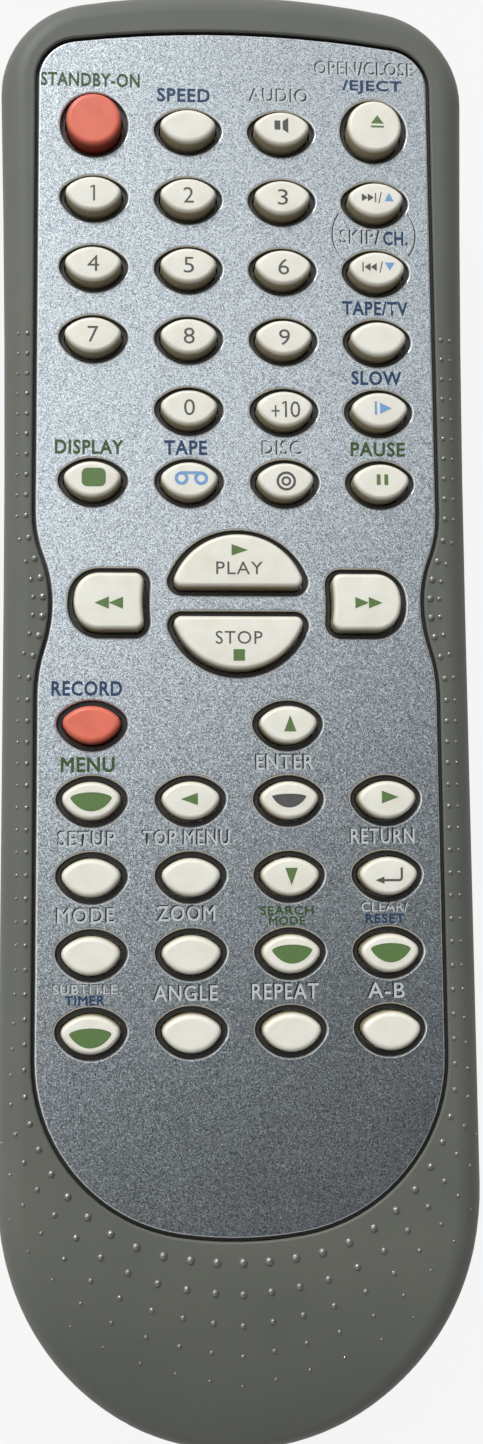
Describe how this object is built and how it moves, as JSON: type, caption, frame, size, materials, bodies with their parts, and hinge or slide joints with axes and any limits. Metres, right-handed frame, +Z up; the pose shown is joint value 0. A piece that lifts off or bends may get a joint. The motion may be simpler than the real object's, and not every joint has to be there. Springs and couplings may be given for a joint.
{
  "type": "infrared remote control",
  "caption": "Handheld infrared remote control for a tape and disc player: soft keys through a metallic face plate, domed palm end and sliding battery door.",
  "frame": {"origin": "middle of the case's length and width, on the table it lies on", "axes": "+Y to the end that sends the infrared beam, +Z up through the keys, +X to the right as the keys are read"},
  "size_m": [0.0626, 0.1922, 0.0264],
  "materials": {
    "case_plastic": "fine matte texture",
    "face_silver": "silver-blue metallic paint with fine sparkle",
    "key_ivory": "ivory silicone, satin coat",
    "key_red": "coral red silicone, satin coat",
    "mat_silicone": "grey silicone",
    "board_laminate": "paper phenolic laminate with solder lacquer",
    "chip_black": "moulded epoxy",
    "resonator_blue": "dipped enamel",
    "capacitor_sleeve": "shrink sleeve",
    "lamp_lens": "clear smoky epoxy lens",
    "cell_jacket": "plain dark printed jacket",
    "contact_nickel": "nickel plated spring steel",
    "screw_steel": "zinc plated"
  },
  "bodies": {
    "remote": {"aa_cells": "cell_jacket", "bottom_shell": "case_plastic", "capacitor": "capacitor_sleeve", "case_screw": "screw_steel", "ceramic_resonator": "resonator_blue", "circuit_board": "board_laminate", "controller_chip": "chip_black", "driver_transistor": "chip_black", "faceplate": "face_silver", "front_contacts": "contact_nickel", "ir_led": "lamp_lens", "key_mat": "mat_silicone", "palm_contact": "contact_nickel", "top_shell": "case_plastic"},
    "battery_door": {"battery_door": "case_plastic"},
    "key_a_to_b": {"key_a_to_b": "key_ivory"},
    "key_angle": {"key_angle": "key_ivory"},
    "key_audio": {"key_audio": "key_ivory"},
    "key_clear": {"key_clear": "key_ivory"},
    "key_digit_0": {"key_digit_0": "key_ivory"},
    "key_digit_1": {"key_digit_1": "key_ivory"},
    "key_digit_2": {"key_digit_2": "key_ivory"},
    "key_digit_3": {"key_digit_3": "key_ivory"},
    "key_digit_4": {"key_digit_4": "key_ivory"},
    "key_digit_5": {"key_digit_5": "key_ivory"},
    "key_digit_6": {"key_digit_6": "key_ivory"},
    "key_digit_7": {"key_digit_7": "key_ivory"},
    "key_digit_8": {"key_digit_8": "key_ivory"},
    "key_digit_9": {"key_digit_9": "key_ivory"},
    "key_disc": {"key_disc": "key_ivory"},
    "key_display": {"key_display": "key_ivory"},
    "key_down": {"key_down": "key_ivory"},
    "key_eject": {"key_eject": "key_ivory"},
    "key_enter": {"key_enter": "key_ivory"},
    "key_fast_forward": {"key_fast_forward": "key_ivory"},
    "key_left": {"key_left": "key_ivory"},
    "key_menu": {"key_menu": "key_ivory"},
    "key_mode": {"key_mode": "key_ivory"},
    "key_pause": {"key_pause": "key_ivory"},
    "key_play": {"key_play": "key_ivory"},
    "key_plus_ten": {"key_plus_ten": "key_ivory"},
    "key_record": {"key_record": "key_red"},
    "key_repeat": {"key_repeat": "key_ivory"},
    "key_return": {"key_return": "key_ivory"},
    "key_rewind": {"key_rewind": "key_ivory"},
    "key_right": {"key_right": "key_ivory"},
    "key_search": {"key_search": "key_ivory"},
    "key_setup": {"key_setup": "key_ivory"},
    "key_skip_back": {"key_skip_back": "key_ivory"},
    "key_skip_forward": {"key_skip_forward": "key_ivory"},
    "key_slow": {"key_slow": "key_ivory"},
    "key_speed": {"key_speed": "key_ivory"},
    "key_standby": {"key_standby": "key_red"},
    "key_stop": {"key_stop": "key_ivory"},
    "key_subtitle": {"key_subtitle": "key_ivory"},
    "key_tape": {"key_tape": "key_ivory"},
    "key_top_menu": {"key_top_menu": "key_ivory"},
    "key_tv_select": {"key_tv_select": "key_ivory"},
    "key_up": {"key_up": "key_ivory"},
    "key_zoom": {"key_zoom": "key_ivory"}
  },
  "joints": [
    {"name": "door_slide", "type": "slide", "parent": "remote", "child": "battery_door", "axis": [0, -1, 0], "range_m": [0, 0.07]},
    {"name": "press_a_to_b", "type": "slide", "parent": "remote", "child": "key_a_to_b", "axis": [0, 0, -1], "range_m": [0, 0.0012], "stiffness_N_per_m": 800, "springref_m": -0.0005},
    {"name": "press_angle", "type": "slide", "parent": "remote", "child": "key_angle", "axis": [0, 0, -1], "range_m": [0, 0.0012], "stiffness_N_per_m": 800, "springref_m": -0.0005},
    {"name": "press_audio", "type": "slide", "parent": "remote", "child": "key_audio", "axis": [0, 0, -1], "range_m": [0, 0.0012], "stiffness_N_per_m": 800, "springref_m": -0.0005},
    {"name": "press_clear", "type": "slide", "parent": "remote", "child": "key_clear", "axis": [0, 0, -1], "range_m": [0, 0.0012], "stiffness_N_per_m": 800, "springref_m": -0.0005},
    {"name": "press_digit_0", "type": "slide", "parent": "remote", "child": "key_digit_0", "axis": [0, 0, -1], "range_m": [0, 0.0012], "stiffness_N_per_m": 800, "springref_m": -0.0005},
    {"name": "press_digit_1", "type": "slide", "parent": "remote", "child": "key_digit_1", "axis": [0, 0, -1], "range_m": [0, 0.0012], "stiffness_N_per_m": 800, "springref_m": -0.0005},
    {"name": "press_digit_2", "type": "slide", "parent": "remote", "child": "key_digit_2", "axis": [0, 0, -1], "range_m": [0, 0.0012], "stiffness_N_per_m": 800, "springref_m": -0.0005},
    {"name": "press_digit_3", "type": "slide", "parent": "remote", "child": "key_digit_3", "axis": [0, 0, -1], "range_m": [0, 0.0012], "stiffness_N_per_m": 800, "springref_m": -0.0005},
    {"name": "press_digit_4", "type": "slide", "parent": "remote", "child": "key_digit_4", "axis": [0, 0, -1], "range_m": [0, 0.0012], "stiffness_N_per_m": 800, "springref_m": -0.0005},
    {"name": "press_digit_5", "type": "slide", "parent": "remote", "child": "key_digit_5", "axis": [0, 0, -1], "range_m": [0, 0.0012], "stiffness_N_per_m": 800, "springref_m": -0.0005},
    {"name": "press_digit_6", "type": "slide", "parent": "remote", "child": "key_digit_6", "axis": [0, 0, -1], "range_m": [0, 0.0012], "stiffness_N_per_m": 800, "springref_m": -0.0005},
    {"name": "press_digit_7", "type": "slide", "parent": "remote", "child": "key_digit_7", "axis": [0, 0, -1], "range_m": [0, 0.0012], "stiffness_N_per_m": 800, "springref_m": -0.0005},
    {"name": "press_digit_8", "type": "slide", "parent": "remote", "child": "key_digit_8", "axis": [0, 0, -1], "range_m": [0, 0.0012], "stiffness_N_per_m": 800, "springref_m": -0.0005},
    {"name": "press_digit_9", "type": "slide", "parent": "remote", "child": "key_digit_9", "axis": [0, 0, -1], "range_m": [0, 0.0012], "stiffness_N_per_m": 800, "springref_m": -0.0005},
    {"name": "press_disc", "type": "slide", "parent": "remote", "child": "key_disc", "axis": [0, 0, -1], "range_m": [0, 0.0012], "stiffness_N_per_m": 800, "springref_m": -0.0005},
    {"name": "press_display", "type": "slide", "parent": "remote", "child": "key_display", "axis": [0, 0, -1], "range_m": [0, 0.0012], "stiffness_N_per_m": 800, "springref_m": -0.0005},
    {"name": "press_down", "type": "slide", "parent": "remote", "child": "key_down", "axis": [0, 0, -1], "range_m": [0, 0.0012], "stiffness_N_per_m": 800, "springref_m": -0.0005},
    {"name": "press_eject", "type": "slide", "parent": "remote", "child": "key_eject", "axis": [0, 0, -1], "range_m": [0, 0.0012], "stiffness_N_per_m": 800, "springref_m": -0.0005},
    {"name": "press_enter", "type": "slide", "parent": "remote", "child": "key_enter", "axis": [0, 0, -1], "range_m": [0, 0.0012], "stiffness_N_per_m": 800, "springref_m": -0.0005},
    {"name": "press_fast_forward", "type": "slide", "parent": "remote", "child": "key_fast_forward", "axis": [0, 0, -1], "range_m": [0, 0.0012], "stiffness_N_per_m": 800, "springref_m": -0.0005},
    {"name": "press_left", "type": "slide", "parent": "remote", "child": "key_left", "axis": [0, 0, -1], "range_m": [0, 0.0012], "stiffness_N_per_m": 800, "springref_m": -0.0005},
    {"name": "press_menu", "type": "slide", "parent": "remote", "child": "key_menu", "axis": [0, 0, -1], "range_m": [0, 0.0012], "stiffness_N_per_m": 800, "springref_m": -0.0005},
    {"name": "press_mode", "type": "slide", "parent": "remote", "child": "key_mode", "axis": [0, 0, -1], "range_m": [0, 0.0012], "stiffness_N_per_m": 800, "springref_m": -0.0005},
    {"name": "press_pause", "type": "slide", "parent": "remote", "child": "key_pause", "axis": [0, 0, -1], "range_m": [0, 0.0012], "stiffness_N_per_m": 800, "springref_m": -0.0005},
    {"name": "press_play", "type": "slide", "parent": "remote", "child": "key_play", "axis": [0, 0, -1], "range_m": [0, 0.0012], "stiffness_N_per_m": 800, "springref_m": -0.0005},
    {"name": "press_plus_ten", "type": "slide", "parent": "remote", "child": "key_plus_ten", "axis": [0, 0, -1], "range_m": [0, 0.0012], "stiffness_N_per_m": 800, "springref_m": -0.0005},
    {"name": "press_record", "type": "slide", "parent": "remote", "child": "key_record", "axis": [0, 0, -1], "range_m": [0, 0.0012], "stiffness_N_per_m": 800, "springref_m": -0.0005},
    {"name": "press_repeat", "type": "slide", "parent": "remote", "child": "key_repeat", "axis": [0, 0, -1], "range_m": [0, 0.0012], "stiffness_N_per_m": 800, "springref_m": -0.0005},
    {"name": "press_return", "type": "slide", "parent": "remote", "child": "key_return", "axis": [0, 0, -1], "range_m": [0, 0.0012], "stiffness_N_per_m": 800, "springref_m": -0.0005},
    {"name": "press_rewind", "type": "slide", "parent": "remote", "child": "key_rewind", "axis": [0, 0, -1], "range_m": [0, 0.0012], "stiffness_N_per_m": 800, "springref_m": -0.0005},
    {"name": "press_right", "type": "slide", "parent": "remote", "child": "key_right", "axis": [0, 0, -1], "range_m": [0, 0.0012], "stiffness_N_per_m": 800, "springref_m": -0.0005},
    {"name": "press_search", "type": "slide", "parent": "remote", "child": "key_search", "axis": [0, 0, -1], "range_m": [0, 0.0012], "stiffness_N_per_m": 800, "springref_m": -0.0005},
    {"name": "press_setup", "type": "slide", "parent": "remote", "child": "key_setup", "axis": [0, 0, -1], "range_m": [0, 0.0012], "stiffness_N_per_m": 800, "springref_m": -0.0005},
    {"name": "press_skip_back", "type": "slide", "parent": "remote", "child": "key_skip_back", "axis": [0, 0, -1], "range_m": [0, 0.0012], "stiffness_N_per_m": 800, "springref_m": -0.0005},
    {"name": "press_skip_forward", "type": "slide", "parent": "remote", "child": "key_skip_forward", "axis": [0, 0, -1], "range_m": [0, 0.0012], "stiffness_N_per_m": 800, "springref_m": -0.0005},
    {"name": "press_slow", "type": "slide", "parent": "remote", "child": "key_slow", "axis": [0, 0, -1], "range_m": [0, 0.0012], "stiffness_N_per_m": 800, "springref_m": -0.0005},
    {"name": "press_speed", "type": "slide", "parent": "remote", "child": "key_speed", "axis": [0, 0, -1], "range_m": [0, 0.0012], "stiffness_N_per_m": 800, "springref_m": -0.0005},
    {"name": "press_standby", "type": "slide", "parent": "remote", "child": "key_standby", "axis": [0, 0, -1], "range_m": [0, 0.0012], "stiffness_N_per_m": 800, "springref_m": -0.0005},
    {"name": "press_stop", "type": "slide", "parent": "remote", "child": "key_stop", "axis": [0, 0, -1], "range_m": [0, 0.0012], "stiffness_N_per_m": 800, "springref_m": -0.0005},
    {"name": "press_subtitle", "type": "slide", "parent": "remote", "child": "key_subtitle", "axis": [0, 0, -1], "range_m": [0, 0.0012], "stiffness_N_per_m": 800, "springref_m": -0.0005},
    {"name": "press_tape", "type": "slide", "parent": "remote", "child": "key_tape", "axis": [0, 0, -1], "range_m": [0, 0.0012], "stiffness_N_per_m": 800, "springref_m": -0.0005},
    {"name": "press_top_menu", "type": "slide", "parent": "remote", "child": "key_top_menu", "axis": [0, 0, -1], "range_m": [0, 0.0012], "stiffness_N_per_m": 800, "springref_m": -0.0005},
    {"name": "press_tv_select", "type": "slide", "parent": "remote", "child": "key_tv_select", "axis": [0, 0, -1], "range_m": [0, 0.0012], "stiffness_N_per_m": 800, "springref_m": -0.0005},
    {"name": "press_up", "type": "slide", "parent": "remote", "child": "key_up", "axis": [0, 0, -1], "range_m": [0, 0.0012], "stiffness_N_per_m": 800, "springref_m": -0.0005},
    {"name": "press_zoom", "type": "slide", "parent": "remote", "child": "key_zoom", "axis": [0, 0, -1], "range_m": [0, 0.0012], "stiffness_N_per_m": 800, "springref_m": -0.0005}
  ]
}
